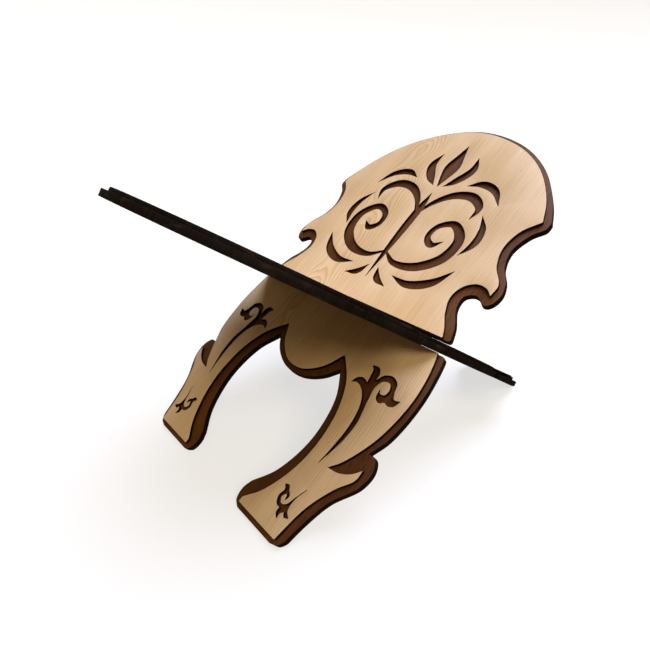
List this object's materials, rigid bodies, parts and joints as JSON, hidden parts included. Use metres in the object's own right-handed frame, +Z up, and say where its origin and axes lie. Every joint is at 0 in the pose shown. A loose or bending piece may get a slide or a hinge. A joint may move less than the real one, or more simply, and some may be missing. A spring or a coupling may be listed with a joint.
{
  "type": "folding book stand",
  "caption": "X-shaped wooden book stand of two cross-lapped boards, each a dark base with a pale inlaid facing, that open into a V to hold a book.",
  "frame": {"origin": "on the floor under the middle of the crossing line", "axes": "+X along the crossing line, +Z up, +Y from the front board's open side to the rear board's"},
  "size_m": [0.2534, 0.3862, 0.2498],
  "materials": {
    "walnut": "satin walnut, scorched brown-black on every cut edge",
    "maple": "satin maple, scorched brown-black on every cut edge"
  },
  "bodies": {
    "rear_board": {"rear_board_base": "walnut", "rear_board_facing": "maple"},
    "front_board": {"front_board_base": "walnut", "front_board_facing": "maple"}
  },
  "joints": [
    {"name": "crossing", "type": "hinge", "parent": "rear_board", "child": "front_board", "pos_m": [0, 0, 0.1152], "axis": [-1, 0, 0], "range_deg": [0, 40]}
  ]
}
